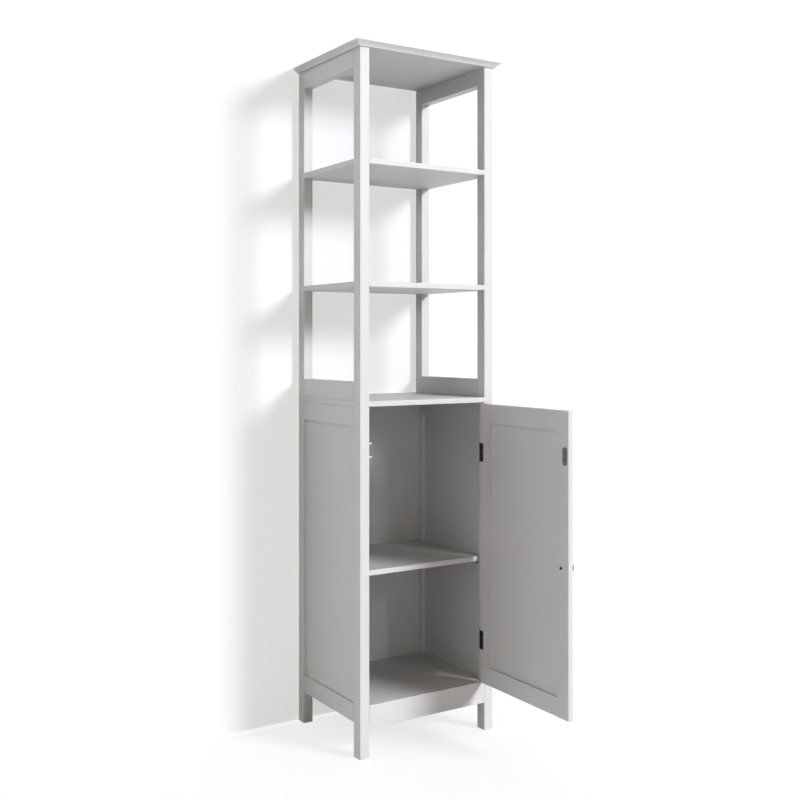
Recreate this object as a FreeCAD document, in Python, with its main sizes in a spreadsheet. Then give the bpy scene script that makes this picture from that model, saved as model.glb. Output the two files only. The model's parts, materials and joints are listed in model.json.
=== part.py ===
"""Tall bathroom cabinet: a cupboard with one door below and three open bays above.

Frame: millimetres, +Z up, the front faces -Y.  The origin is on the floor, under the middle of the body.
The door is modelled open at a right angle, about the vertical line through its hinge pins.
"""
import FreeCAD, Part
import os
import re
from math import cos, sin, tau

import Sketcher
from FreeCAD import Placement, Rotation, Vector

doc = FreeCAD.newDocument("tall_bathroom_cabinet")

# ---------------------------------------------------------------------------------------------
# Driving dimensions
# ---------------------------------------------------------------------------------------------

DIMENSIONS = {
    # the whole
    "overall_height": 1600,
    "body_width": 368,
    "body_depth": 301,
    "board_thick": 12,
    "edge_bevel": 0.8,
    # side frames: posts, rails and the panels let into them
    "post_width": 24,
    "post_depth": 29,
    "lower_height": 785,
    "leg_clear": 76,
    "lower_bottom_rail": 42,
    "lower_top_rail": 45,
    "upper_bottom_rail": 43,
    "upper_top_rail": 40,
    "tenon_length": 15,
    "tenon_shoulder": 8,
    "mortise_slack": 0.5,
    "panel_thick": 9,
    "panel_setback": 4,
    "panel_groove": 8,
    "panel_slack": 1,
    "housing_depth": 4,
    "housing_inset": 5,
    # cross pieces of the cupboard
    "apron_thick": 15,
    "apron_bottom": 66,
    "apron_height": 51.5,
    "apron_tenon_thick": 7,
    "apron_tenon_length": 9,
    "back_thick": 4,
    "back_setback": 14,
    "inner_shelf_bottom": 402,
    "inner_shelf_setback": 20,
    "inner_shelf_slack": 1,
    # open shelves and top
    "low_shelf_bottom": 1054,
    "high_shelf_bottom": 1329.5,
    "top_overhang_side": 17,
    "top_overhang_front": 16,
    "top_underside_overhang": 4.5,
    "top_land": 1,
    # shelf pins, and loose tenons between the posts and the boards they stand under or on
    "pin_radius": 2.5,
    "pin_seat": 8,
    "pin_reach": 7,
    "pin_inset": 5,
    "loose_tenon_thick": 7,
    "loose_tenon_width": 15,
    "loose_tenon_inset": 4,
    "loose_tenon_seat": 18,
    "top_mortise_depth": 8,
    # door
    "door_gap": 2,
    "door_lift": 2,
    "door_height": 663.5,
    "door_thick": 13,
    "door_stile": 39,
    "door_bottom_rail": 42,
    "door_top_rail": 45,
    "door_panel_thick": 5,
    "door_groove": 8,
    "rest_angle": 90,
    # hinges
    "hinge_low": 221,
    "hinge_high": 667,
    "hinge_height": 44,
    "hinge_inset": 0.8,
    "hinge_proud": 2.5,
    "leaf_thick": 0.8,
    "post_leaf_reach": 20.5,
    "door_leaf_wrap": 13.5,
    "barrel_radius": 2.4,
    "barrel_bore": 1.25,
    "hinge_pin_radius": 1.2,
    "knuckle_gap": 0.3,
    "barrel_clear": 0.3,
    "leaf_screw_spread": 13,
    # small screws of the hinges and the strike plate
    "screw_head_radius": 2.4,
    "screw_radius": 1.3,
    "screw_depth": 9,
    # magnetic catch and strike plate
    "catch_middle": 686.5,
    "catch_height": 34,
    "catch_reach": 15,
    "catch_depth": 14.5,
    "catch_base": 3,
    "catch_cheek": 3.5,
    "catch_front_gap": 0.3,
    "catch_plate": 1,
    "spigot_bore_radius": 3,
    "spigot_width": 4.2,
    "spigot_depth": 7,
    "strike_width": 14.4,
    "strike_height": 40,
    "strike_thick": 1,
    "strike_middle": 685,
    "strike_from_hinge": 304.5,
    # knob
    "knob_from_hinge": 292,
    "knob_middle": 443,
    "knob_radius": 10,
    "knob_reach": 22,
    "knob_neck_radius": 5,
    "knob_head_depth": 14,
    "knob_under_slope": 4,
    "knob_crown_slope": 4,
    "knob_face_radius": 6.5,
    "knob_thread_radius": 2,
    "knob_thread_depth": 8,
    "knob_screw_head_radius": 3.2,
    "knob_screw_head_thick": 1.8,
}

sheet = doc.addObject("Spreadsheet::Sheet", "dim")
sheet.Label = "driving dimensions"
for row, (alias, size) in enumerate(DIMENSIONS.items(), start=1):
    sheet.set(f"A{row}", alias.replace("_", " "))
    sheet.set(f"B{row}", str(size))
    sheet.setAlias(f"B{row}", alias)
doc.recompute()

# Places that several pieces share, as formulas on the sheet.  Parentheses keep them whole inside others.
LEFT = "(-body_width / 2)"
FRONT = "(-body_depth / 2)"
BETWEEN_POSTS = "(body_width - 2 * post_width)"
FRAME_GAP = "(body_depth - 2 * post_depth)"
INNER_LEFT = "(-body_width / 2 + post_width)"
UPPER_BASE = "(lower_height + board_thick)"
UPPER_HEIGHT = "(overall_height - lower_height - 2 * board_thick)"
FLOOR_TOP = "(apron_bottom + apron_height)"
BACK_FACE = "(body_depth / 2 - back_setback - back_thick)"
PIN_LEVEL = "(inner_shelf_bottom - pin_radius)"
DOOR_WIDTH = "(body_width - 2 * post_width - 2 * door_gap)"
DOOR_BOTTOM = "(apron_bottom + apron_height + door_lift)"
DOOR_EDGE = "(hinge_inset - door_gap)"
DOOR_BACK = "(hinge_proud + door_thick)"
HINGE_X = "(body_width / 2 - post_width - hinge_inset)"
HINGE_Y = "(-body_depth / 2 - hinge_proud)"
KNOB_X = "(hinge_inset - door_gap - knob_from_hinge)"
STRIKE_X = "(hinge_inset - door_gap - strike_from_hinge)"


def formula(text):
    """Turns the plain names of dimensions into references to the sheet."""
    return re.sub(r"[a-z]+(_[a-z]+)+", lambda name: "dim." + name.group(), str(text))


def bind(thing, **formulas):
    """Binds properties of an object to formulas; a double underscore stands for a dot."""
    for name, text in formulas.items():
        thing.setExpression(name.replace("__", "."), formula(text))


def place(thing, at):
    """Puts a piece of the cabinet's fixed body at a corner or centre."""
    bind(thing, Placement__Base__x=at[0], Placement__Base__y=at[1], Placement__Base__z=at[2])


def place_on_door(thing, at):
    """Puts a piece of the door at a place measured from the hinge line with the door shut, then swings it."""
    x, y, z = at
    turn = "rest_angle * 1 deg"
    thing.Placement = Placement(Vector(), Rotation(Vector(0, 0, 1), 1))
    bind(
        thing,
        Placement__Rotation__Angle=turn,
        Placement__Base__x=f"{HINGE_X} + cos({turn}) * ({x}) - sin({turn}) * ({y})",
        Placement__Base__y=f"{HINGE_Y} + sin({turn}) * ({x}) + cos({turn}) * ({y})",
        Placement__Base__z=z,
    )


# ---------------------------------------------------------------------------------------------
# Sketches: every outline starts at its sketch's own origin, and the sketch is carried to its place
# ---------------------------------------------------------------------------------------------


def sketch(body, plane, name, at=("0", "0", "0")):
    """An empty sketch on one of the body's own planes, shifted by three formulas along the sketch's axes."""
    drawing = body.newObject("Sketcher::SketchObject", name)
    origin_plane = next(part for part in body.Origin.OriginFeatures if part.Role == plane)
    drawing.AttachmentSupport = [(origin_plane, "")]
    drawing.MapMode = "FlatFace"
    bind(
        drawing,
        AttachmentOffset__Base__x=at[0],
        AttachmentOffset__Base__y=at[1],
        AttachmentOffset__Base__z=at[2],
    )
    return drawing


def hold_start(drawing, line, x, y):
    """Fixes the start of a line by its distances from the sketch's origin, or on an axis where one is 0."""
    for kind, axis, distance in (("DistanceX", -2, x), ("DistanceY", -1, y)):
        if distance == "0":
            drawing.addConstraint(Sketcher.Constraint("PointOnObject", line, 1, axis))
        else:
            number = drawing.addConstraint(Sketcher.Constraint(kind, -1, 1, line, 1, 1))
            drawing.setExpression(f"Constraints[{number}]", formula(distance))


def polygon(drawing, points):
    """A closed outline of straight lines through points, each a pair of formulas.

    The lines are laid out as a regular polygon, which the constraints then pull into shape.
    """
    count = len(points)
    corners = [Vector(10 * cos(tau * i / count), 10 * sin(tau * i / count), 0) for i in range(count)]
    for i, corner in enumerate(corners):
        drawing.addGeometry(Part.LineSegment(corner, corners[(i + 1) % count]))
    for i, (x, y) in enumerate(points):
        drawing.addConstraint(Sketcher.Constraint("Coincident", i, 2, (i + 1) % count, 1))
        hold_start(drawing, i, x, y)


def rectangle(drawing, width, height):
    polygon(drawing, [("0", "0"), (width, "0"), (width, height), ("0", height)])


def circle(drawing, radius):
    drawing.addGeometry(Part.Circle(Vector(), Vector(0, 0, 1), 1))
    drawing.addConstraint(Sketcher.Constraint("Coincident", 0, 3, -1, 1))
    number = drawing.addConstraint(Sketcher.Constraint("Radius", 0, 1))
    drawing.setExpression(f"Constraints[{number}]", formula(radius))


# ---------------------------------------------------------------------------------------------
# Pieces
# ---------------------------------------------------------------------------------------------


def new_body(label, at, carry):
    body = doc.addObject("PartDesign::Body", label)
    body.Label = label
    carry(body, at)
    return body


def extrude(body, kind, drawing, length, backwards=False):
    """A Pad or Pocket of a sketch."""
    feature = body.newObject(f"PartDesign::{kind}", kind.lower())
    feature.Profile = drawing
    feature.Reversed = backwards
    bind(feature, Length=length)
    return feature


def spin(body, kind, profile, axis, at=("0", "0", "0")):
    """A Revolution or Groove of (radius, distance) points about an axis along X, Y or Z, or against it."""
    points = profile
    if axis.startswith("-"):
        points = [(radius, "0" if distance == "0" else f"-({distance})") for radius, distance in points]
    if axis.endswith("x"):
        points = [(distance, radius) for radius, distance in points]
    x, y, z = at
    if axis.endswith("z"):
        drawing = sketch(body, "XZ_Plane", "profile", (x, z, f"-({y})"))
    else:
        drawing = sketch(body, "XY_Plane", "profile", at)
    polygon(drawing, points)
    feature = body.newObject(f"PartDesign::{kind}", kind.lower())
    feature.Profile = drawing
    feature.ReferenceAxis = (drawing, ["H_Axis" if axis.endswith("x") else "V_Axis"])
    feature.Angle = 360
    return feature


def turned(label, profile, axis, at, carry=place):
    body = new_body(label, at, carry)
    spin(body, "Revolution", profile, axis)
    return body


def ease(body, direction):
    """Bevels the body's present edges that run in one direction."""
    doc.recompute()
    solid = body.Tip
    names = []
    for number, edge in enumerate(solid.Shape.Edges, start=1):
        run = (edge.Vertexes[-1].Point - edge.Vertexes[0].Point).normalize()
        if abs(run * direction) > 0.99:
            names.append(f"Edge{number}")
    bevel = body.newObject("PartDesign::Chamfer", "eased_edges")
    bevel.Base = (solid, names)
    bind(bevel, Size="edge_bevel")


def rod(label, radius, length, axis, at, carry=place):
    """A plain round pin along X or Z, either way along it."""
    body = new_body(label, at, carry)
    drawing = sketch(body, "XY_Plane" if axis == "z" else "YZ_Plane", "end")
    circle(drawing, radius)
    extrude(body, "Pad", drawing, length, backwards=axis == "-x")
    return body


class Piece:
    """A padded outline with its lower, left, front corner at its own origin, worked from its six sides."""

    def __init__(self, label, size, at, carry=place, outline=None):
        self.width, self.depth, self.height = size
        self.body = new_body(label, at, carry)
        drawing = sketch(self.body, "XY_Plane", "outline")
        if outline:
            polygon(drawing, outline)
        else:
            rectangle(drawing, self.width, self.depth)
        extrude(self.body, "Pad", drawing, self.height)

    def on_side(self, side, corner, inset):
        """A sketch on one side, or a distance in from it, and whether features there run backwards."""
        plane, level, backwards = {
            "left": ("YZ_Plane", inset, True),
            "right": ("YZ_Plane", f"{self.width} - {inset}", False),
            "front": ("XZ_Plane", f"-({inset})", False),
            "back": ("XZ_Plane", f"-({self.depth} - {inset})", True),
            "bottom": ("XY_Plane", inset, True),
            "top": ("XY_Plane", f"{self.height} - {inset}", False),
        }[side]
        return sketch(self.body, plane, side, (*corner, level)), backwards

    def cut(self, side, corner, size, depth):
        """A rectangular groove, mortise or rabbet."""
        drawing, backwards = self.on_side(side, corner, "0")
        rectangle(drawing, *size)
        return extrude(self.body, "Pocket", drawing, depth, backwards)

    def bore(self, side, centre, radius, depth):
        drawing, backwards = self.on_side(side, centre, "0")
        circle(drawing, radius)
        return extrude(self.body, "Pocket", drawing, depth, backwards)

    def tongue(self, side, corner, size, length, inset="0"):
        """A rectangular tenon or tongue that stands out of one side, or of a level in from it."""
        drawing, backwards = self.on_side(side, corner, inset)
        rectangle(drawing, *size)
        return extrude(self.body, "Pad", drawing, length, backwards)


def group(label, members):
    """Identical fasteners that share one name, as separate solids."""
    bundle = doc.addObject("Part::Compound", label)
    bundle.Label = label
    bundle.Links = members
    return bundle


X_AXIS, Y_AXIS, Z_AXIS = Vector(1, 0, 0), Vector(0, 1, 0), Vector(0, 0, 1)
SIDES = ("left", "right")
ENDS = ("front", "rear")
PIECES = []


def keep(piece):
    """Notes a finished piece for writing out."""
    PIECES.append(piece.body if isinstance(piece, Piece) else piece)
    return piece


# ---------------------------------------------------------------------------------------------
# Where things lie on the two sides of the cabinet
# ---------------------------------------------------------------------------------------------

POST_X = {"left": LEFT, "right": "(body_width / 2 - post_width)"}
POST_Y = {"front": FRONT, "rear": "(body_depth / 2 - post_depth)"}
INWARD = {"left": "right", "right": "left"}
TOWARDS_MIDDLE = {"front": "back", "rear": "front"}


def from_outside(side, distance, size="0"):
    """The x in a post or rail of something a distance in from the cabinet's outer face, and that wide."""
    return distance if side == "left" else f"post_width - {distance} - {size}"


LOOSE_TENON = ("loose_tenon_width", "loose_tenon_thick")
LOOSE_TENON_X = "(post_width - loose_tenon_width) / 2"
LOOSE_TENON_Y = {"front": "loose_tenon_inset", "rear": "(post_depth - loose_tenon_inset - loose_tenon_thick)"}


def loose_tenon_in_board(side, end):
    """Where a post's loose tenon meets a board that is as wide and deep as the cabinet."""
    x = LOOSE_TENON_X if side == "left" else f"(body_width - post_width + {LOOSE_TENON_X})"
    y = LOOSE_TENON_Y[end] if end == "front" else f"(body_depth - post_depth + {LOOSE_TENON_Y[end]})"
    return x, y


# a small countersunk wood screw, as (radius, distance) from the face of its head, and the hole for its head
SMALL_SCREW = [
    ("0", "0"),
    ("screw_head_radius", "0"),
    ("screw_radius", "leaf_thick"),
    ("screw_radius", "screw_depth"),
    ("0", "screw_depth"),
]
COUNTERSINK = SMALL_SCREW[:3] + [("screw_radius", "2 * leaf_thick"), ("0", "2 * leaf_thick")]


# ---------------------------------------------------------------------------------------------
# Side frames
# ---------------------------------------------------------------------------------------------


def post(level, side, end, height, at_z, rails):
    """One upright of a side frame, mortised for its rails and for the loose tenon in its upper end."""
    upright = Piece(
        f"{level}_{end}_{side}_post",
        ("post_width", "post_depth", height),
        (POST_X[side], POST_Y[end], at_z),
    )
    ease(upright.body, Z_AXIS)
    for bottom, rail_height in rails:
        upright.cut(
            TOWARDS_MIDDLE[end],
            (from_outside(side, "panel_setback", "panel_thick"), f"{bottom} + tenon_shoulder"),
            ("panel_thick", f"{rail_height} - 2 * tenon_shoulder"),
            "tenon_length + mortise_slack",
        )
    upright.cut("top", (LOOSE_TENON_X, LOOSE_TENON_Y[end]), LOOSE_TENON, "loose_tenon_seat")
    return keep(upright)


def rail(label, side, height, at_z, panel_edge=None):
    """A cross rail of a side frame with a tenon at each end, grooved along the edge that holds the panel."""
    piece = Piece(
        label,
        ("post_width", FRAME_GAP, height),
        (POST_X[side], f"({FRONT} + post_depth)", at_z),
    )
    ease(piece.body, Y_AXIS)
    for end in ("front", "back"):
        piece.tongue(
            end,
            (from_outside(side, "panel_setback", "panel_thick"), "tenon_shoulder"),
            ("panel_thick", f"{height} - 2 * tenon_shoulder"),
            "tenon_length",
        )
    if panel_edge:
        corner = (from_outside(side, "panel_setback", "panel_thick"), "0")
        piece.cut(panel_edge, corner, ("panel_thick", FRAME_GAP), "panel_groove")
    return keep(piece)


LOWER_RAILS = {
    "bottom": ("leg_clear", "lower_bottom_rail"),
    "top": ("(lower_height - lower_top_rail)", "lower_top_rail"),
}
UPPER_RAILS = {
    "bottom": ("0", "upper_bottom_rail"),
    "top": (f"({UPPER_HEIGHT} - upper_top_rail)", "upper_top_rail"),
}
PANEL_BOTTOM = "(leg_clear + lower_bottom_rail)"
PANEL_HEIGHT = "(lower_height - lower_top_rail - leg_clear - lower_bottom_rail)"


def lower_side_frame(side):
    """Two legs joined by a low and a high rail round a thin panel."""
    inner = INWARD[side]
    for end in ENDS:
        leg = post("lower", side, end, "lower_height", "0", LOWER_RAILS.values())
        leg.cut(
            TOWARDS_MIDDLE[end],
            (from_outside(side, "panel_setback", "panel_thick"), f"{PANEL_BOTTOM} - panel_groove"),
            ("panel_thick", f"{PANEL_HEIGHT} + 2 * panel_groove"),
            "panel_groove",
        )
        pin_y = "post_depth - pin_inset" if end == "front" else "pin_inset"
        leg.bore(inner, (pin_y, PIN_LEVEL), "pin_radius", "pin_seat")
        if end == "front":
            leg.cut(
                inner,
                ("(apron_thick - apron_tenon_thick) / 2", "apron_bottom + tenon_shoulder"),
                ("apron_tenon_thick", "apron_height - 2 * tenon_shoulder"),
                "apron_tenon_length + mortise_slack",
            )
        else:
            leg.cut(
                inner,
                ("post_depth - back_setback - back_thick", f"{FLOOR_TOP} - board_thick"),
                ("back_thick", f"lower_height - {FLOOR_TOP} + board_thick"),
                "panel_groove",
            )
        if (side, end) == ("left", "front"):
            centre = ("door_thick + strike_thick + catch_front_gap + catch_depth / 2", "catch_middle")
            leg.bore(inner, centre, "spigot_bore_radius", "spigot_depth + mortise_slack")
    for name, (bottom, height) in LOWER_RAILS.items():
        edge = "top" if name == "bottom" else "bottom"
        bar = rail(f"lower_{side}_{name}_rail", side, height, bottom, edge)
        if name == "bottom":
            floor_bottom = f"({FLOOR_TOP} - board_thick - leg_clear)"
            bar.cut(inner, ("0", floor_bottom), (FRAME_GAP, f"{height} - {floor_bottom}"), "housing_depth")
    panel = Piece(
        f"lower_{side}_panel",
        (
            "panel_thick",
            f"{FRAME_GAP} + 2 * (panel_groove - panel_slack)",
            f"{PANEL_HEIGHT} + 2 * (panel_groove - panel_slack)",
        ),
        (
            f"{POST_X[side]} + {from_outside(side, 'panel_setback', 'panel_thick')}",
            f"{FRONT} + post_depth - panel_groove + panel_slack",
            f"{PANEL_BOTTOM} - panel_groove + panel_slack",
        ),
    )
    keep(panel)


def upper_side_frame(side):
    """Two posts joined by a low and a high rail, open between them."""
    for end in ENDS:
        upright = post("upper", side, end, UPPER_HEIGHT, UPPER_BASE, UPPER_RAILS.values())
        upright.cut("bottom", (LOOSE_TENON_X, LOOSE_TENON_Y[end]), LOOSE_TENON, "loose_tenon_seat")
        for shelf_bottom in OPEN_SHELVES.values():
            upright.cut(
                INWARD[side],
                ("housing_inset", f"{shelf_bottom} - {UPPER_BASE}"),
                (HOUSING_WIDTH, "board_thick"),
                "housing_depth",
            )
    for name, (bottom, height) in UPPER_RAILS.items():
        rail(f"upper_{side}_{name}_rail", side, height, f"{UPPER_BASE} + {bottom}")


# ---------------------------------------------------------------------------------------------
# Boards
# ---------------------------------------------------------------------------------------------

OPEN_SHELVES = {"low": "low_shelf_bottom", "high": "high_shelf_bottom"}
HOUSING_WIDTH = "(post_depth - 2 * housing_inset)"


def front_apron():
    apron = Piece(
        "front_apron",
        (BETWEEN_POSTS, "apron_thick", "apron_height"),
        (INNER_LEFT, FRONT, "apron_bottom"),
    )
    ease(apron.body, X_AXIS)
    for side in SIDES:
        apron.tongue(
            side,
            ("(apron_thick - apron_tenon_thick) / 2", "tenon_shoulder"),
            ("apron_tenon_thick", "apron_height - 2 * tenon_shoulder"),
            "apron_tenon_length",
        )
    return keep(apron)


def cupboard_floor():
    """The bottom board, from the apron to the back panel, with its sides in rabbets in the low rails."""
    depth = f"({BACK_FACE} - {FRONT} - apron_thick)"
    board = Piece(
        "cupboard_floor",
        (BETWEEN_POSTS, depth, "board_thick"),
        (INNER_LEFT, f"{FRONT} + apron_thick", f"{FLOOR_TOP} - board_thick"),
    )
    for side in SIDES:
        board.tongue(side, ("post_depth - apron_thick", "0"), (FRAME_GAP, "board_thick"), "housing_depth")
    return keep(board)


def back_panel():
    """A thin panel let into grooves in the rear legs."""
    reach = "(panel_groove - panel_slack)"
    return keep(
        Piece(
            "back_panel",
            (
                f"{BETWEEN_POSTS} + 2 * {reach}",
                "back_thick",
                f"lower_height - {FLOOR_TOP} + board_thick - panel_slack",
            ),
            (f"{INNER_LEFT} - {reach}", BACK_FACE, f"{FLOOR_TOP} - board_thick"),
        )
    )


def inner_shelf():
    """The loose shelf of the cupboard, on four pins."""
    shelf = Piece(
        "inner_shelf",
        (
            f"{BETWEEN_POSTS} - 2 * inner_shelf_slack",
            f"{BACK_FACE} - {FRONT} - inner_shelf_setback - inner_shelf_slack",
            "board_thick",
        ),
        (f"{INNER_LEFT} + inner_shelf_slack", f"{FRONT} + inner_shelf_setback", "inner_shelf_bottom"),
    )
    ease(shelf.body, X_AXIS)
    return keep(shelf)


def middle_board():
    """The board between the cupboard and the open part, flush with the frames all round."""
    board = Piece("middle_board", ("body_width", "body_depth", "board_thick"), (LEFT, FRONT, "lower_height"))
    ease(board.body, X_AXIS)
    for side in SIDES:
        for end in ENDS:
            board.cut("top", loose_tenon_in_board(side, end), LOOSE_TENON, "board_thick")
    return keep(board)


def open_shelf(name, bottom):
    """A shelf as wide and deep as the cabinet, notched round the posts, with a tongue housed in each."""
    far_x, far_y = "(body_width - post_width)", "(body_depth - post_depth)"
    outline = [
        ("post_width", "0"),
        (far_x, "0"),
        (far_x, "post_depth"),
        ("body_width", "post_depth"),
        ("body_width", far_y),
        (far_x, far_y),
        (far_x, "body_depth"),
        ("post_width", "body_depth"),
        ("post_width", far_y),
        ("0", far_y),
        ("0", "post_depth"),
        ("post_width", "post_depth"),
    ]
    shelf = Piece(
        f"{name}_open_shelf",
        ("body_width", "body_depth", "board_thick"),
        (LEFT, FRONT, bottom),
        outline=outline,
    )
    for side in SIDES:
        for y in ("housing_inset", "(body_depth - post_depth + housing_inset)"):
            shelf.tongue(side, (y, "0"), (HOUSING_WIDTH, "board_thick"), "housing_depth", inset="post_width")
    return keep(shelf)


def top_board():
    """The top, moulded at the front and sides: its edge slopes inwards from the top face to the underside."""
    body = new_body(
        "top_board",
        (f"{LEFT} - top_overhang_side", f"{FRONT} - top_overhang_front", "overall_height - board_thick"),
        place,
    )
    side_slope = "(top_overhang_side - top_underside_overhang)"
    front_slope = "(top_overhang_front - top_underside_overhang)"
    width, depth = "(body_width + 2 * top_overhang_side)", "(body_depth + top_overhang_front)"
    underside = sketch(body, "XY_Plane", "underside", (side_slope, front_slope, "0"))
    rectangle(underside, f"{width} - 2 * {side_slope}", f"{depth} - {front_slope}")
    rim = sketch(body, "XY_Plane", "rim", ("0", "0", "board_thick - top_land"))
    rectangle(rim, width, depth)
    moulding = body.newObject("PartDesign::AdditiveLoft", "moulding")
    moulding.Profile = underside
    moulding.Sections = [rim]
    moulding.Ruled = True
    land = sketch(body, "XY_Plane", "land", ("0", "0", "board_thick - top_land"))
    rectangle(land, width, depth)
    extrude(body, "Pad", land, "top_land")
    for side in SIDES:
        for end in ENDS:
            x, y = loose_tenon_in_board(side, end)
            corner = (f"top_overhang_side + {x}", f"top_overhang_front + {y}", "0")
            mortise = sketch(body, "XY_Plane", "mortise", corner)
            rectangle(mortise, *LOOSE_TENON)
            extrude(body, "Pocket", mortise, "top_mortise_depth", backwards=True)
    return keep(body)


# ---------------------------------------------------------------------------------------------
# Loose tenons and shelf pins
# ---------------------------------------------------------------------------------------------


def loose_tenons(label, length, bottom):
    """Loose tenons in line with the four posts, through or into the board between."""
    members = []
    for side in SIDES:
        for end in ENDS:
            tenon = Piece(
                f"{end}_{side}_{label}",
                (*LOOSE_TENON, length),
                (f"{POST_X[side]} + {LOOSE_TENON_X}", f"{POST_Y[end]} + {LOOSE_TENON_Y[end]}", bottom),
            )
            members.append(tenon.body)
    return keep(group(label, members))


def shelf_pins():
    """Four round pins in the legs that carry the loose shelf."""
    members = []
    for start, axis in (("-", "x"), ("", "-x")):
        for sign_y in ("-", ""):
            x = f"{start}({BETWEEN_POSTS} / 2 + pin_seat)"
            y = f"{sign_y}(body_depth / 2 - post_depth + pin_inset)"
            name = f"shelf_pin_{len(members) + 1}"
            members.append(rod(name, "pin_radius", "pin_seat + pin_reach", axis, (x, y, PIN_LEVEL)))
    return keep(group("shelf_pins", members))


# ---------------------------------------------------------------------------------------------
# Hinges: a flat leaf on the leg, a leaf folded round the door's edge, and a fixed pin between them
# ---------------------------------------------------------------------------------------------

HINGE_LEVELS = {"hinge_low": "lower", "hinge_high": "upper"}
KNUCKLE = "((hinge_height - 2 * knuckle_gap) / 3)"
LEAF_START = "(barrel_radius + barrel_clear)"
POST_LEAF_SCREW = f"(({LEAF_START} + post_leaf_reach) / 2)"
DOOR_LEAF_SCREW = f"({DOOR_EDGE} - door_leaf_wrap / 2)"


def leaf_screw_levels(middle):
    return [f"({middle} - leaf_screw_spread)", f"({middle} + leaf_screw_spread)"]


def knuckle(body, number, plate_left, bore):
    """One knuckle of the barrel with the tab that ties it to its leaf, the pin's bore cut last."""
    bottom = f"{number} * ({KNUCKLE} + knuckle_gap)"
    ring = sketch(body, "XY_Plane", "ring", ("0", "0", bottom))
    circle(ring, "barrel_radius")
    extrude(body, "Pad", ring, KNUCKLE)
    tab = sketch(body, "XY_Plane", "tab", (plate_left, "0", bottom))
    rectangle(tab, "leaf_thick", LEAF_START)
    extrude(body, "Pad", tab, KNUCKLE)
    hole = sketch(body, "XY_Plane", "hole", ("0", "0", bottom))
    circle(hole, bore)
    extrude(body, "Pocket", hole, KNUCKLE, backwards=True)


def post_leaf(name, middle):
    body = new_body(f"{name}_hinge_post_leaf", (HINGE_X, HINGE_Y, f"{middle} - hinge_height / 2"), place)
    plate = sketch(body, "YZ_Plane", "plate", (LEAF_START, "0", "0"))
    rectangle(plate, f"post_leaf_reach - {LEAF_START}", "hinge_height")
    extrude(body, "Pad", plate, "leaf_thick")
    for number in (0, 2):
        knuckle(body, number, "0", "hinge_pin_radius")
    for screw in leaf_screw_levels("hinge_height / 2"):
        spin(body, "Groove", COUNTERSINK, "x", ("0", POST_LEAF_SCREW, screw))
    return keep(body)


def door_leaf(name, middle):
    body = new_body(f"{name}_hinge_door_leaf", ("0", "0", f"{middle} - hinge_height / 2"), place_on_door)
    wrap_end = f"({DOOR_EDGE} - door_leaf_wrap)"
    fold = sketch(body, "XY_Plane", "fold")
    polygon(
        fold,
        [
            (DOOR_EDGE, LEAF_START),
            (f"{DOOR_EDGE} + leaf_thick", LEAF_START),
            (f"{DOOR_EDGE} + leaf_thick", f"{DOOR_BACK} + leaf_thick"),
            (wrap_end, f"{DOOR_BACK} + leaf_thick"),
            (wrap_end, DOOR_BACK),
            (DOOR_EDGE, DOOR_BACK),
        ],
    )
    extrude(body, "Pad", fold, "hinge_height")
    knuckle(body, 1, DOOR_EDGE, "barrel_bore")
    for screw in leaf_screw_levels("hinge_height / 2"):
        spin(body, "Groove", COUNTERSINK, "-y", (DOOR_LEAF_SCREW, f"{DOOR_BACK} + leaf_thick", screw))
    return keep(body)


def hinge_pin(name, middle):
    """The pin, fast in the leg's two knuckles and free in the door's."""
    at = (HINGE_X, HINGE_Y, f"{middle} - hinge_height / 2")
    return keep(rod(f"{name}_hinge_pin", "hinge_pin_radius", "hinge_height", "z", at))


def small_screws():
    """The hinges' screws in the leg, and in the door those of the hinges and the strike plate."""
    in_leg, in_door = [], []
    places_in_door = [(STRIKE_X, f"{DOOR_BACK} + strike_thick", "strike_middle")]
    for middle in HINGE_LEVELS:
        for level in leaf_screw_levels(middle):
            at = (HINGE_X, f"{HINGE_Y} + {POST_LEAF_SCREW}", level)
            in_leg.append(turned(f"leg_screw_{len(in_leg) + 1}", SMALL_SCREW, "x", at))
            places_in_door.append((DOOR_LEAF_SCREW, f"{DOOR_BACK} + leaf_thick", level))
    for at in places_in_door:
        name = f"door_screw_{len(in_door) + 1}"
        in_door.append(turned(name, SMALL_SCREW, "-y", at, place_on_door))
    keep(group("leg_screws", in_leg))
    keep(group("door_screws", in_door))


# ---------------------------------------------------------------------------------------------
# Door: a coped frame round a thin panel, recessed on both faces
# ---------------------------------------------------------------------------------------------

STILE_X = {"hinge": f"({DOOR_EDGE} - door_stile)", "latch": f"({DOOR_EDGE} - {DOOR_WIDTH})"}
RAIL_LENGTH = f"({DOOR_WIDTH} - 2 * door_stile)"
GROOVE_Y = "((door_thick - door_panel_thick) / 2)"


def door_stile(name):
    """An upright of the door, grooved all along its inner edge."""
    stile = Piece(
        f"door_{name}_stile",
        ("door_stile", "door_thick", "door_height"),
        (STILE_X[name], "hinge_proud", DOOR_BOTTOM),
        place_on_door,
    )
    ease(stile.body, Z_AXIS)
    inner_edge = "left" if name == "hinge" else "right"
    stile.cut(inner_edge, (GROOVE_Y, "0"), ("door_panel_thick", "door_height"), "door_groove")
    if name == "latch":
        knob = (f"{KNOB_X} - {STILE_X[name]}", f"knob_middle - {DOOR_BOTTOM}")
        stile.bore("back", knob, "knob_thread_radius", "door_thick")
    return keep(stile)


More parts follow.
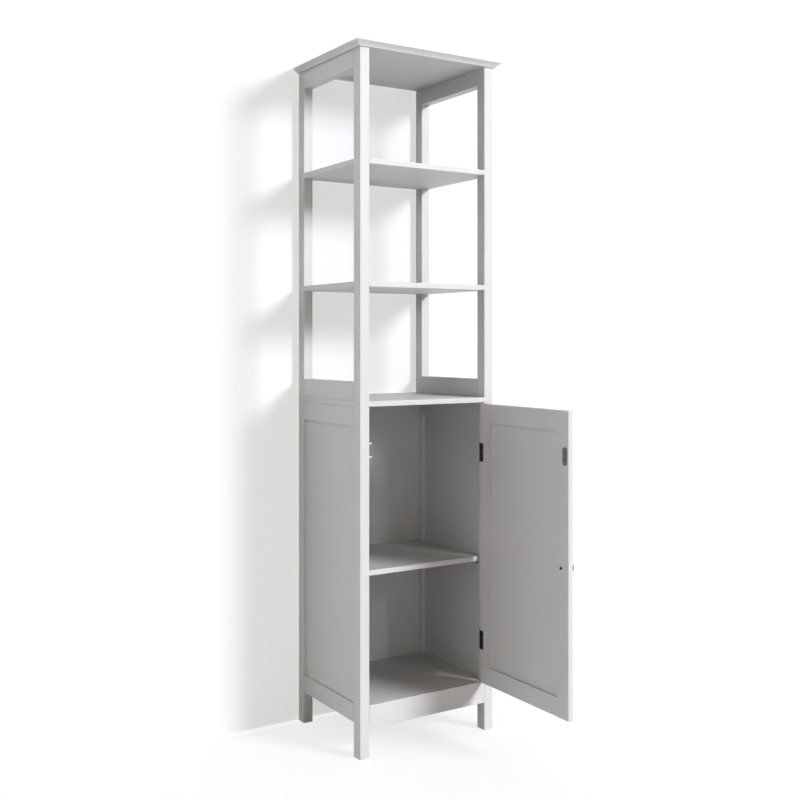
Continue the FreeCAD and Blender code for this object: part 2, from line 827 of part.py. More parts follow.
def door_rail(name, height, bottom):
    """A cross piece of the door, grooved along its inner edge, with a stub tongue in each stile's groove."""
    bar = Piece(
        f"door_{name}_rail",
        (RAIL_LENGTH, "door_thick", height),
        (f"({STILE_X['latch']} + door_stile)", "hinge_proud", bottom),
        place_on_door,
    )
    ease(bar.body, X_AXIS)
    groove_side = "top" if name == "bottom" else "bottom"
    bar.cut(groove_side, ("0", GROOVE_Y), (RAIL_LENGTH, "door_panel_thick"), "door_groove")
    tongue_bottom = "0" if name == "bottom" else "door_groove"
    for side in SIDES:
        bar.tongue(
            side,
            (GROOVE_Y, tongue_bottom),
            ("door_panel_thick", f"{height} - door_groove"),
            "door_groove - mortise_slack",
        )
    return keep(bar)


def door_panel():
    reach = "(door_groove - panel_slack)"
    return keep(
        Piece(
            "door_panel",
            (
                f"{RAIL_LENGTH} + 2 * {reach}",
                "door_panel_thick",
                f"door_height - door_bottom_rail - door_top_rail + 2 * {reach}",
            ),
            (
                f"{STILE_X['latch']} + door_stile - {reach}",
                f"hinge_proud + {GROOVE_Y}",
                f"{DOOR_BOTTOM} + door_bottom_rail - {reach}",
            ),
            place_on_door,
        )
    )


def knob():
    """A turned knob, tapped for its screw: a neck, and a head that slopes out from it and in again to its face."""
    profile = [
        ("0", "0"),
        ("knob_neck_radius", "0"),
        ("knob_neck_radius", "knob_reach - knob_head_depth"),
        ("knob_radius", "knob_reach - knob_head_depth + knob_under_slope"),
        ("knob_radius", "knob_reach - knob_crown_slope"),
        ("knob_face_radius", "knob_reach"),
        ("0", "knob_reach"),
    ]
    body = new_body("door_knob", (KNOB_X, "hinge_proud", "knob_middle"), place_on_door)
    spin(body, "Revolution", profile, "-y")
    thread = sketch(body, "XZ_Plane", "thread")
    circle(thread, "knob_thread_radius")
    extrude(body, "Pocket", thread, "knob_thread_depth", backwards=True)
    return keep(body)


def knob_screw():
    profile = [
        ("0", "-knob_screw_head_thick"),
        ("knob_screw_head_radius", "-knob_screw_head_thick"),
        ("knob_screw_head_radius", "0"),
        ("knob_thread_radius", "0"),
        ("knob_thread_radius", "door_thick + knob_thread_depth"),
        ("0", "door_thick + knob_thread_depth"),
    ]
    return keep(turned("knob_screw", profile, "-y", (KNOB_X, DOOR_BACK, "knob_middle"), place_on_door))


# ---------------------------------------------------------------------------------------------
# Magnetic catch on the leg and its strike plate on the door
# ---------------------------------------------------------------------------------------------

CATCH_FRONT = f"({FRONT} + door_thick + strike_thick + catch_front_gap)"
CATCH_BOTTOM = "(catch_middle - catch_height / 2)"
MAGNET_HEIGHT = "(catch_height - 2 * catch_cheek)"


def catch_housing():
    """The catch's plastic body: a base against the leg, a cheek above and below, and a spigot in the leg."""
    housing = Piece(
        "catch_housing",
        ("catch_reach", "catch_depth", "catch_height"),
        (INNER_LEFT, CATCH_FRONT, CATCH_BOTTOM),
    )
    housing.cut("right", ("0", "catch_cheek"), ("catch_depth", MAGNET_HEIGHT), "catch_reach - catch_base")
    corner = ("(catch_depth - spigot_width) / 2", "(catch_height - spigot_width) / 2")
    housing.tongue("left", corner, ("spigot_width", "spigot_width"), "spigot_depth")
    return keep(housing)


def catch_magnet():
    """The magnet between its two steel plates, whose front edges pull the strike plate."""
    inside = "(catch_reach - catch_base - 2 * catch_plate - catch_front_gap)"
    bottom = f"{CATCH_BOTTOM} + catch_cheek"
    keep(
        Piece(
            "catch_magnet",
            (inside, "catch_depth - catch_plate", MAGNET_HEIGHT),
            (f"{INNER_LEFT} + catch_base + catch_plate", f"{CATCH_FRONT} + catch_plate", bottom),
        )
    )
    plates = []
    for x in ("catch_base", f"catch_base + catch_plate + {inside}"):
        plate = Piece(
            f"catch_plate_{len(plates) + 1}",
            ("catch_plate", "catch_depth", MAGNET_HEIGHT),
            (f"{INNER_LEFT} + {x}", CATCH_FRONT, bottom),
        )
        plates.append(plate.body)
    keep(group("catch_plates", plates))


def strike_plate():
    """A round-ended steel plate on the door's inner face, held by one screw."""
    plate = Piece(
        "strike_plate",
        ("strike_width", "strike_thick", "strike_height - strike_width"),
        (f"{STRIKE_X} - strike_width / 2", DOOR_BACK, "strike_middle - (strike_height - strike_width) / 2"),
        place_on_door,
    )
    for level in ("0", "strike_height - strike_width"):
        drawing = sketch(plate.body, "XZ_Plane", "round_end", ("strike_width / 2", level, "0"))
        circle(drawing, "strike_width / 2")
        extrude(plate.body, "Pad", drawing, "strike_thick", backwards=True)
    middle = ("strike_width / 2", "strike_thick", "(strike_height - strike_width) / 2")
    spin(plate.body, "Groove", COUNTERSINK, "-y", middle)
    return keep(plate)


# ---------------------------------------------------------------------------------------------
# The whole cabinet
# ---------------------------------------------------------------------------------------------

for side in SIDES:
    lower_side_frame(side)
    upper_side_frame(side)

front_apron()
cupboard_floor()
back_panel()
inner_shelf()
middle_board()
for shelf_name, shelf_bottom in OPEN_SHELVES.items():
    open_shelf(shelf_name, shelf_bottom)
top_board()

loose_tenons("middle_tenons", "(2 * loose_tenon_seat + board_thick)", "lower_height - loose_tenon_seat")
loose_tenons(
    "top_tenons",
    "(loose_tenon_seat + top_mortise_depth)",
    "overall_height - board_thick - loose_tenon_seat",
)
shelf_pins()

for hinge_middle, hinge_name in HINGE_LEVELS.items():
    post_leaf(hinge_name, hinge_middle)
    door_leaf(hinge_name, hinge_middle)
    hinge_pin(hinge_name, hinge_middle)

for stile_name in STILE_X:
    door_stile(stile_name)
door_rail("bottom", "door_bottom_rail", DOOR_BOTTOM)
door_rail("top", "door_top_rail", f"({DOOR_BOTTOM} + door_height - door_top_rail)")
door_panel()
knob()
knob_screw()

catch_housing()
catch_magnet()
strike_plate()
small_screws()

# ---------------------------------------------------------------------------------------------
# Check every object, then write each piece
# ---------------------------------------------------------------------------------------------

doc.recompute()
for thing in doc.Objects:
    if any(state in ("Invalid", "Error") for state in thing.State):
        raise RuntimeError(f"{thing.Label} failed: {thing.State}")

os.makedirs("parts", exist_ok=True)
for piece in PIECES:
    if piece.Shape.isNull() or not piece.Shape.isValid():
        raise RuntimeError(f"{piece.Label} has no sound shape")
    piece.Shape.exportStep(f"parts/{piece.Label}.step")
    print(f"{piece.Label:26s} {len(piece.Shape.Solids)} solid(s) {piece.Shape.Volume / 1000:9.2f} cm3")
print(len(PIECES), "pieces")
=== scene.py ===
# %% [markdown]
# # A tall bathroom cabinet, finished and lit
#
# The cabinet comes in as a set of exact solids: posts, rails, boards, a framed door and its fittings. This script
# gives each piece its finish, models the small turned and pressed metal parts more fully, and sets the piece up in
# a plain white studio. Everything is in metres, with the floor at zero height and the front facing -Y.

# %% Load the packed cabinet
import json
from math import cos, hypot, pi, radians, sin

import bpy
from mathutils import Matrix, Vector

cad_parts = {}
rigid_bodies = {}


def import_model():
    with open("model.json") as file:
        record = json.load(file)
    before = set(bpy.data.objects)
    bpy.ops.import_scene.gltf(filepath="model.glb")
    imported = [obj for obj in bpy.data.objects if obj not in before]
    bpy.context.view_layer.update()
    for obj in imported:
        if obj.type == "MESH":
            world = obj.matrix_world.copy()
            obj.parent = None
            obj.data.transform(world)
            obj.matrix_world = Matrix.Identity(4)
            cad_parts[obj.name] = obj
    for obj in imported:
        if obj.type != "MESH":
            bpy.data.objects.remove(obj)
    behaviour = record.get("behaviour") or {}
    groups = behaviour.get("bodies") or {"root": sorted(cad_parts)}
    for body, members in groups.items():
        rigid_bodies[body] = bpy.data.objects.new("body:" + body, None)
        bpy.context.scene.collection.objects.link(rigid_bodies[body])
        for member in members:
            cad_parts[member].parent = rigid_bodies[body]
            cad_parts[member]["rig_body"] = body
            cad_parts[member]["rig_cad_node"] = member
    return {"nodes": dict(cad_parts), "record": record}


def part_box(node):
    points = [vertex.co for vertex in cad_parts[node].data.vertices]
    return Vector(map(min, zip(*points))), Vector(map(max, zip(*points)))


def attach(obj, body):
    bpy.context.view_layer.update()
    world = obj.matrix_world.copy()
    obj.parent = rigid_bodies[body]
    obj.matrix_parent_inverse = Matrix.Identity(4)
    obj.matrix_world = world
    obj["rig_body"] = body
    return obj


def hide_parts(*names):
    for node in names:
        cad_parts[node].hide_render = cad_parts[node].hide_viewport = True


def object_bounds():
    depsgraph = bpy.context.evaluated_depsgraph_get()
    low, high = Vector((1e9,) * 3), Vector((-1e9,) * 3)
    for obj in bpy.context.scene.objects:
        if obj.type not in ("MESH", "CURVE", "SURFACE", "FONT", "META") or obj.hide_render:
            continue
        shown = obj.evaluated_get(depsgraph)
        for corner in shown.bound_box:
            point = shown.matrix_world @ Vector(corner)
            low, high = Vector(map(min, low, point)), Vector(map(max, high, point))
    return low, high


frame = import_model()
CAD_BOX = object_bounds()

MM = 0.001
nodes = frame["nodes"]
slots = {name: piece.data.materials[0].name.split(".")[0] for name, piece in nodes.items()}
print(len(nodes), "pieces from the drawing, box", [round(v, 3) for corner in CAD_BOX for v in corner])

# %% [markdown]
# ## The viewpoint
#
# The cabinet is seen from its left front corner, from a little above half its height. The camera stands level, so
# that every upright stays upright, and the frame is slid down a little instead of the camera being tipped. That is
# how furniture is photographed: tipping would make the posts lean.

# %% Camera
camera = bpy.data.objects.new("camera", bpy.data.cameras.new("camera"))
bpy.context.scene.collection.objects.link(camera)
camera.location = (-1.3775, -2.2019, 0.9353)
camera.rotation_euler = (radians(90), 0, radians(-32.33))
camera.data.sensor_width = 36
camera.data.lens = 48.03
camera.data.shift_y = -0.0755
bpy.context.scene.camera = camera
print("camera stands", round(hypot(camera.location.x, camera.location.y), 2), "m from the middle of the cabinet")

# %% [markdown]
# ## Writing finishes as sums
#
# A finish is a small network of nodes. Drawn by hand that is a web of wires, so here a socket is wrapped in a class
# that understands plus, minus and times: an expression such as `0.4 + 0.1 * grain` adds the Math nodes by itself.
# The reflected forms, which Python tries when a plain number comes first, are there so that `1 - mask` works too.


# %% Values that can be added and multiplied
class Value:
    """A number that varies over a surface."""

    def __init__(self, finish, socket):
        self.finish = finish
        self.socket = socket

    def __add__(self, other):
        return self.finish.math("ADD", self, other)

    def __sub__(self, other):
        return self.finish.math("SUBTRACT", self, other)

    def __rsub__(self, other):
        return self.finish.math("SUBTRACT", other, self)

    def __mul__(self, other):
        return self.finish.math("MULTIPLY", self, other)

    __radd__ = __add__
    __rmul__ = __mul__


print("a value understands", [name for name in vars(Value) if name.startswith("__r")], "and the plain forms")

# %% [markdown]
# ## One method for every node
#
# Colours, noise and relief don't fit into sums. They all come from one method, `node`, which sets a node's own choices
# first and its sockets after, because a choice such as the kind of mix decides which sockets are in use. The short
# methods below it name the few nodes that the cabinet's finishes are made of, so that a finish reads like a recipe.
# The scale of a noise is in waves to the metre.


# %% A finish and its nodes
class Finish:
    """A material that is built up from expressions."""

    def __init__(self, name):
        self.material = bpy.data.materials.new(name)
        self.material.use_nodes = True
        self.tree = self.material.node_tree
        self.tree.nodes.clear()

    def node(self, kind, settings, sockets, output=0):
        """Adds a node with its choices and its sockets, and gives back one of its outputs."""
        made = self.tree.nodes.new("ShaderNode" + kind)
        for name, choice in settings.items():
            setattr(made, name, choice)
        for name, given in sockets.items():
            if isinstance(given, Value):
                self.tree.links.new(given.socket, made.inputs[name])
            else:
                made.inputs[name].default_value = given
        if made.outputs:
            return Value(self, made.outputs[output])

    def math(self, operation, *numbers):
        """One step of arithmetic on numbers or values."""
        return self.node("Math", {"operation": operation}, dict(enumerate(numbers)))

    def step(self, value, low, high):
        """0 below low, 1 above high and a smooth rise between them."""
        limits = {"Value": value, "From Min": low, "From Max": high}
        return self.node("MapRange", {"interpolation_type": "SMOOTHSTEP"}, limits, "Result")

    def mix(self, share, first, second):
        """The first colour where share is 0, and the second where it is 1."""
        return self.node("Mix", {"data_type": "RGBA"}, {0: share, 6: first, 7: second}, 2)

    def place(self, centre=(0, 0, 0), scale=(1, 1, 1), turn=(0, 0, 0)):
        """The point on the object, counted from a centre and stretched."""
        here = self.node("TexCoord", {}, {}, "Object")
        shifted = self.node("VectorMath", {"operation": "SUBTRACT"}, {0: here, 1: centre})
        return self.node("Mapping", {}, {"Vector": shifted, "Rotation": turn, "Scale": scale})

    def noise(self, where, scale, detail=2, roughness=0.5):
        """Soft blotches between 0 and 1, with so many waves to the metre."""
        sockets = {"Vector": where, "Scale": scale, "Detail": detail, "Roughness": roughness}
        return self.node("TexNoise", {}, sockets, "Fac")

    def bump(self, height, depth, under=None):
        """Relief of that depth in metres, over another relief if there is one."""
        sockets = {"Height": height, "Distance": depth, "Strength": 1.0}
        if under:
            sockets["Normal"] = under
        return self.node("Bump", {}, sockets, "Normal")

    def surface(self, **sockets):
        """Ends the finish; Base_Color stands for Base Color, and so on."""
        given = {name.replace("_", " "): value for name, value in sockets.items()}
        shader = self.node("BsdfPrincipled", {}, given)
        self.node("OutputMaterial", {}, {"Surface": shader})
        return self.material

    def watched(self):
        """1 for what the camera sees, straight, in a mirror or through glass."""
        camera_ray, mirror_ray, glass_ray = (
            self.node("LightPath", {}, {}, f"Is {ray} Ray") for ray in ("Camera", "Glossy", "Transmission")
        )
        return self.math("MAXIMUM", self.math("MAXIMUM", camera_ray, mirror_ray), glass_ray)


print("a finish is made of", [name for name in vars(Finish) if not name.startswith("_")])

# %% [markdown]
# ## Nearly neutral colours
#
# White paint, steel and chrome are all close to grey. Three separate numbers for each would be hard to keep in step,
# so a tone is written as its level and a touch of warmth, which lifts the red and lowers the blue by the same share.


# %% Grey with a touch of warmth
def grey(level, warm=0.0):
    """A nearly neutral colour, a little warmer or, below 0, cooler."""
    return (level * (1 + warm), level, level * (1 - warm), 1)


print("a warm middle grey is", grey(0.5, 0.01))

# %% [markdown]
# ## Rubbed arrises, with a painted highlight
#
# Sealed wood is rubbed down before it is sprayed, and at the arrises, where the rubbing cuts through first, the film
# ends up thinner and glossier. The same band is also painted a little lighter: a painted highlight, which stands for
# the line of light that an arris catches. The band could be painted onto each board by hand. It is worked out from
# the board's box instead, because that fits every board. On a board's surface, one of the distances to its six sides
# is zero, and the middle one of the three, taken over the three directions, is the distance to the nearest arris.


# %% Find the arrises of a board
def arris(finish, low, high, reach):
    """1 at the edges of a box and 0 further away from them than reach."""
    here = finish.node("TexCoord", {}, {}, "Object")
    gaps = []
    for axis, letter in enumerate("XYZ"):
        along = finish.node("SeparateXYZ", {}, {0: here}, letter)
        gaps.append(finish.math("MINIMUM", along - low[axis], high[axis] - along))
    least = finish.math("MINIMUM", finish.math("MINIMUM", gaps[0], gaps[1]), gaps[2])
    most = finish.math("MAXIMUM", finish.math("MAXIMUM", gaps[0], gaps[1]), gaps[2])
    middle = gaps[0] + gaps[1] + gaps[2] - least - most
    return 1 - finish.step(middle, FULL_BAND_SHARE * reach, reach)


# the band within this reach is the rubbed, glossier film and also a painted highlight
RUBBED_AND_HIGHLIT_REACH = 2.2 * MM
FULL_BAND_SHARE = 0.2  # of that reach, over which the film is thinnest and the painted highlight lightest
print("the film is thin within", RUBBED_AND_HIGHLIT_REACH, "m of an arris")

# %% [markdown]
# ## Sprayed satin paint
#
# Close to, sprayed paint is never flat: it has a fine orange peel from the spray gun, the grain of the wood shows
# through as faint ridges along each board, and a little dust settles in it. Each board gets its own copy of the
# finish, because its grain runs along its own length and its arrises are where its own sides meet. The boards of the
# door are the exception: they are rubbed down together, so their arrises, glossier and painted lighter as a
# highlight, are those of the whole door. The spray coat itself runs on over the joints, so its clouds and its orange
# peel are counted from one point on all boards.

# %% Mix the paint
# the second number is the lightest tone of the painted highlight on the arrises
PAINT_LEVEL, PAINTED_HIGHLIGHT_LIMIT = 0.78, 0.9
WAVES_ACROSS_GRAIN, WAVES_ALONG_GRAIN = 210.0, 7.0
WOOD_RIDGES, PANEL_RIDGES, PEEL_DEPTH = 0.03 * MM, 0.01 * MM, 0.035 * MM


def paint(name, box, rubbed_highlit_box, ridges):
    """Satin paint on a board that fills a box, thin and with a painted highlight along the arrises of the box that is
    rubbed down as one.
    """
    finish = Finish(name)
    low, high = box
    size = high - low
    centre = (low + high) / 2
    stretch = [WAVES_ACROSS_GRAIN] * 3
    stretch[max(range(3), key=lambda axis: size[axis])] = WAVES_ALONG_GRAIN
    # counted from half way to the board's middle, so that no two boards show the same piece of grain
    fibres = finish.noise(finish.place(centre * 0.5, stretch), 1, 3, 0.6)
    flat = finish.place()
    clouds = finish.noise(flat, 7, 3)
    peel = finish.noise(flat, 620, 1)
    dust = finish.step(finish.noise(flat, 900, 0), 0.74, 0.82)
    patches = finish.step(finish.noise(flat, 45, 3), 0.32, 0.62)
    # the band along the arrises, rubbed glossier and carrying a painted highlight, broken into patches
    edge = arris(finish, *rubbed_highlit_box, RUBBED_AND_HIGHLIT_REACH) * patches
    tone = finish.mix(clouds, grey(PAINT_LEVEL * 0.975, 0.006), grey(PAINT_LEVEL * 1.02, -0.002))
    tone = finish.mix(0.35 * fibres, tone, grey(PAINT_LEVEL * 0.965, 0.01))
    # painted highlight: the arrises are painted lighter, standing for the line of light they catch
    tone = finish.mix(0.5 * edge, tone, grey(min(PAINT_LEVEL * 1.06, PAINTED_HIGHLIGHT_LIMIT)))
    relief = finish.bump(fibres, ridges)
    relief = finish.bump(peel + 0.7 * dust, PEEL_DEPTH, relief)
    return finish.surface(
        Base_Color=tone,
        Roughness=0.4 + 0.14 * clouds - 0.1 * edge,
        Specular_IOR_Level=0.45,
        Normal=relief,
    )


print("paint mixed at", PAINT_LEVEL)

# %% [markdown]
# ## Bare beech
#
# The loose tenons are beech, which isn't painted because it is glued. Beech is pale and even, with short dark flecks
# along its grain. A photograph of wood would have to be wrapped round each tenon, whereas noise that is stretched
# along the grain runs right through the wood, as real fibres do.


# %% Beech
def beech():
    """Bare beech that stands upright, with dark flecks along its fibres."""
    finish = Finish("bare_beech_finish")
    rings = finish.noise(finish.place(scale=(60, 60, 3)), 1, 4, 0.6)
    flecks = finish.step(finish.noise(finish.place(scale=(900, 900, 90)), 1, 1), 0.6, 0.7)
    tone = finish.mix(rings, (0.62, 0.42, 0.25, 1), (0.78, 0.58, 0.38, 1))
    tone = finish.mix(0.5 * flecks, tone, (0.4, 0.24, 0.13, 1))
    return finish.surface(Base_Color=tone, Roughness=0.6 + 0.15 * rings, Normal=finish.bump(rings, BEECH_RIDGES))


BEECH_RIDGES = 0.08 * MM
BEECH = beech()
print("made", BEECH.name)

# %% [markdown]
# ## Metals
#
# The hinges are blackened steel: dull and almost black, a little brighter where fingers and the folding tools have
# rubbed them. Small bright parts are zinc plated, and the knob is dark chrome, polished and then lightly brushed. All
# of these are one recipe, mottled by the plating and finely scratched, with the tone and the gloss changed. That is
# why one function makes them all.

# %% Steel and chrome
STEEL_SCRATCHES, CHROME_SCRATCHES = 0.01 * MM, 0.006 * MM


def metal(name, dark, light, roughness, spread, depth):
    """Metal between a dark and a light tone, mottled by its plating and finely scratched."""
    finish = Finish(name)
    spots = finish.noise(finish.place(), 380, 4, 0.65)
    rubbed = finish.step(finish.noise(finish.place(), 120, 3), 0.48, 0.68)
    scratches = finish.noise(finish.place(scale=(150, 150, 5000), turn=(0.3, 0.2, 0.1)), 1, 2)
    tone = finish.mix(0.6 * spots + 0.4 * rubbed, dark, light)
    return finish.surface(
        Base_Color=tone,
        Metallic=1.0,
        Roughness=roughness + spread * spots - 0.5 * spread * rubbed,
        Normal=finish.bump(scratches + spots, depth),
    )


METALS = {
    "dark_steel": metal("blackened_steel", grey(0.02, 0.05), grey(0.1, 0.04), 0.32, 0.2, STEEL_SCRATCHES),
    "bright_steel": metal("zinc_plate", grey(0.24, 0.01), grey(0.38, -0.01), 0.3, 0.2, STEEL_SCRATCHES),
    "strike_steel": metal("dull_plate", grey(0.14, 0.01), grey(0.24), 0.38, 0.15, STEEL_SCRATCHES),
    "screw_black": metal("oiled_screws", grey(0.012, 0.03), grey(0.035, 0.02), 0.4, 0.2, STEEL_SCRATCHES),
    "knob_chrome": metal("smoked_chrome", grey(0.1), grey(0.24, -0.01), 0.2, 0.16, CHROME_SCRATCHES),
}
print("made", [material.name for material in METALS.values()])

# %% [markdown]
# ## Moulded plastic and the magnet
#
# The catch's housing is white plastic, which takes a fine, even grain from its mould. The magnet is pressed from
# powder and thinly plated, so it is coarser and greyer. Both are plain noise at the size of the real grain.

# %% Plastic and magnet
MOULD_GRAIN, MAGNET_GRAIN = 0.03 * MM, 0.05 * MM


def plastic():
    """White plastic with the fine grain of its mould."""
    finish = Finish("moulded_plastic")
    grain = finish.noise(finish.place(), 1500, 2)
    clouds = finish.noise(finish.place(), 60, 2)
    return finish.surface(
        Base_Color=finish.mix(clouds, (0.78, 0.78, 0.76, 1), (0.86, 0.86, 0.85, 1)),
        Roughness=0.42 + 0.16 * grain,
        Normal=finish.bump(grain, MOULD_GRAIN),
    )


def magnet_coat():
    """The thin grey plating of a pressed magnet."""
    finish = Finish("plated_magnet")
    grain = finish.noise(finish.place(), 1800, 3)
    return finish.surface(
        Base_Color=finish.mix(grain, (0.17, 0.17, 0.172, 1), (0.26, 0.258, 0.255, 1)),
        Roughness=0.55 + 0.3 * grain,
        Normal=finish.bump(grain, MAGNET_GRAIN),
    )


FINISHES = {"bare_beech": BEECH, **METALS, "white_plastic": plastic(), "magnet": magnet_coat()}
print(len(FINISHES), "finishes beside the paint:", sorted(FINISHES))

# %% [markdown]
# ## One skin from loose triangles
#
# The drawing's meshes are loose triangles and stay as they are. To shape a piece further, a copy of it is welded
# into one skin and its flat parts are joined up again, so that only its real edges are left. The shapes could be
# modelled afresh instead, but a copy keeps every groove, notch and knuckle where it was drawn.

# %% Weld a copy
WELD_REACH = 0.002 * MM
FLAT_WITHIN = radians(0.5)


def only(piece):
    """Selects one object and nothing else."""
    bpy.ops.object.select_all(action="DESELECT")
    piece.select_set(True)
    bpy.context.view_layer.objects.active = piece


def welded_copy(name):
    """A drawn piece's copy, whose triangles are joined into one closed skin of flat and round faces."""
    piece = nodes[name].copy()
    piece.data = nodes[name].data.copy()
    piece.name = f"{name}_eased"
    piece.parent = None
    for key in ("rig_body", "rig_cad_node"):  # the marks of a drawn piece, which the copy isn't
        del piece[key]
    bpy.context.scene.collection.objects.link(piece)
    only(piece)
    bpy.ops.object.mode_set(mode="EDIT")
    bpy.ops.mesh.select_all(action="SELECT")
    bpy.ops.mesh.remove_doubles(threshold=WELD_REACH)
    bpy.ops.mesh.dissolve_limited(angle_limit=FLAT_WITHIN)
    bpy.ops.mesh.customdata_custom_splitnormals_clear()
    bpy.ops.object.mode_set(mode="OBJECT")
    return piece


print("points within", WELD_REACH, "m are welded")

# %% [markdown]
# ## Softening the arrises
#
# No real board has a knife edge: it is rubbed down before it is painted, so its arrises are slightly round and catch
# a line of light. Where two pieces meet flush, the two round edges leave the fine groove that shows every joint. A
# Bevel modifier rounds the sharp edges, and reads a weight on each edge, so that a piece may keep some edges square.
#
# Smooth shading would bend the light on the big faces towards their round edges. The Weighted Normal modifier lets
# the large faces win, so they stay flat and only the narrow edge catches the light.

# %% Round off sharp edges
LARGE_FACES_WIN = 100


def round_off(piece, width, segments, sharper_than=30, chosen=None):
    """Bevels the edges sharper than an angle in degrees: all of them, or those whose middle satisfies a test."""
    only(piece)
    bpy.ops.object.mode_set(mode="EDIT")
    bpy.ops.mesh.select_mode(type="EDGE")
    bpy.ops.mesh.select_all(action="DESELECT")
    bpy.ops.mesh.edges_select_sharp(sharpness=radians(sharper_than))
    bpy.ops.object.mode_set(mode="OBJECT")
    mesh = piece.data
    weights = mesh.attributes.new("bevel_weight_edge", "FLOAT", "EDGE")
    for edge, weight in zip(mesh.edges, weights.data):
        ends = [mesh.vertices[i].co for i in edge.vertices]
        weight.value = float(edge.select and (chosen is None or chosen((ends[0] + ends[1]) / 2)))
    bevel = piece.modifiers.new("round", "BEVEL")
    bevel.width = width
    bevel.segments = segments
    bevel.limit_method = "WEIGHT"
    bpy.ops.object.modifier_apply(modifier=bevel.name)
    bpy.ops.object.shade_smooth_by_angle(angle=radians(sharper_than))
    flat_faces = piece.modifiers.new("flat faces", "WEIGHTED_NORMAL")
    flat_faces.weight = LARGE_FACES_WIN
    flat_faces.keep_sharp = True
    bpy.ops.object.modifier_apply(modifier=flat_faces.name)
    return piece


print("large faces win with a weight of", LARGE_FACES_WIN)

# %% [markdown]
# ## Taking the place of a drawn piece
#
# A shaped copy stands for the drawn piece: it hides it, moves with the same body, and takes its finish from the same
# slot, which is given where the copy is made. The drawn piece stays, unseen, as what other pieces touch. One function
# does the hiding and the moving, so that no step of it is forgotten.


# %% Fit a piece
def fit(piece, name):
    """Puts a piece in the place of a drawn one, on the same body."""
    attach(piece, body_of[name])
    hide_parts(name)
    return piece


body_of = {name: body for body, members in frame["record"]["behaviour"]["bodies"].items() for name in members}

# %% [markdown]
# ## The door is one painted frame
#
# The door's frame is filled and sanded after it is glued, so no joint shows on it, and only the twelve outer edges of
# the whole door are rounded. Joining its boards into one mesh would lose the separate pieces, so each board is asked
# instead which of its edges lie where two of the door's outer faces meet.

# %% Find the door's outer edges
SAME_PLACE = 0.01 * MM  # two points nearer than this count as one
BOARDS = [name for name in nodes if slots[name] in ("painted_wood", "painted_panel") and name != "top_board"]
DOOR_BOARDS = [name for name in BOARDS if name.startswith("door_")]
DOOR_BOX = (
    Vector([min(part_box(name)[0][axis] for name in DOOR_BOARDS) for axis in range(3)]),
    Vector([max(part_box(name)[1][axis] for name in DOOR_BOARDS) for axis in range(3)]),
)


def on_door_arris(middle):
    """True on the twelve outer edges of the whole door, where two of the three coordinates are at a limit."""
    return sum(min(at - low, high - at) < SAME_PLACE for at, low, high in zip(middle, *DOOR_BOX)) >= 2


print(len(DOOR_BOARDS), "boards in the door, of", len(BOARDS))

# %% [markdown]
# ## Filled chamfers
#
# The drawn stiles and rails of the door have a small chamfer along the side that faces the panel. It would leave a
# groove wherever a stile runs on past a rail, and the paint on the real door fills that groove. The same goes for the
# top rails of the lower side frames. A strip of filler could be added in each groove. It is neater to move the
# vertices of the chamfer out to where the square edge would be, and then to join up the flat faces again.

# %% Square the edge beside a panel
DRAWN_CHAMFER = 0.8 * MM
Y_AXIS, Z_AXIS, LOW_SIDE, HIGH_SIDE = 1, 2, 0, 1
FACES_PANEL = {  # the axis across the piece, and the side of it that faces the panel
    "door_hinge_stile": (Y_AXIS, LOW_SIDE),
    "door_latch_stile": (Y_AXIS, HIGH_SIDE),
    "door_bottom_rail": (Z_AXIS, HIGH_SIDE),
    "door_top_rail": (Z_AXIS, LOW_SIDE),
    "lower_left_top_rail": (Z_AXIS, LOW_SIDE),
    "lower_right_top_rail": (Z_AXIS, LOW_SIDE),
}


def fill_chamfer(piece, name):
    """Moves the edges of a piece's chamfer out to the square edge beside the panel."""
    axis, side = FACES_PANEL[name]
    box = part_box(name)
    outwards = DRAWN_CHAMFER if side == HIGH_SIDE else -DRAWN_CHAMFER
    chamfer_starts = box[side][axis] - outwards
    only(piece)
    bpy.ops.object.mode_set(mode="EDIT")
    bpy.ops.mesh.select_mode(type="VERT")
    bpy.ops.mesh.select_all(action="DESELECT")
    bpy.ops.object.mode_set(mode="OBJECT")
    for vertex in piece.data.vertices:
        on_face = min(abs(vertex.co.x - corner.x) for corner in box) < SAME_PLACE
        vertex.select = on_face and abs(vertex.co[axis] - chamfer_starts) < SAME_PLACE
    moved = sum(vertex.select for vertex in piece.data.vertices)
    bpy.ops.object.mode_set(mode="EDIT")
    bpy.ops.transform.translate(value=[outwards if at == axis else 0 for at in range(3)])
    bpy.ops.mesh.select_all(action="SELECT")
    bpy.ops.mesh.dissolve_limited(angle_limit=FLAT_WITHIN)
    bpy.ops.object.mode_set(mode="OBJECT")
    print(name, "squared by moving", moved, "vertices")
    return piece


print(len(FACES_PANEL), "pieces to square")

# %% [markdown]
# ## The painted boards
#
# Every post, rail, shelf and panel goes through the same steps, as it would at the bench: its arrises are eased, and
# it is painted. A loop does it, so that all boards get the same care. Solid wood shows more of its grain through the
# paint than the thin panels do.

# %% Ease and paint the boards
BOARD_EASE = 0.5 * MM
for name in BOARDS:
    in_door = name in DOOR_BOARDS
    board = welded_copy(name)
    if name in FACES_PANEL:
        fill_chamfer(board, name)
    round_off(board, BOARD_EASE, segments=2, chosen=on_door_arris if in_door else None)
    ridges = WOOD_RIDGES if slots[name] == "painted_wood" else PANEL_RIDGES
    board.data.materials[0] = paint(f"paint_{name}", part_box(name), DOOR_BOX if in_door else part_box(name), ridges)
    fit(board, name)
print(len(BOARDS), "boards eased and painted")

# %% [markdown]
# ## The curve of the moulded top
#
# The edge of the top is a shallow cove: it rises almost upright from the frame and then sweeps out to a thin land. It
# could be cut out of a board with a curved tool. It is drawn here as a block that is extruded upwards in small lifts,
# each a little wider and deeper than the one below, because that leaves clean strips all round. The back stays flat
# against the wall, so the depth is scaled from the back face and the width from the middle.

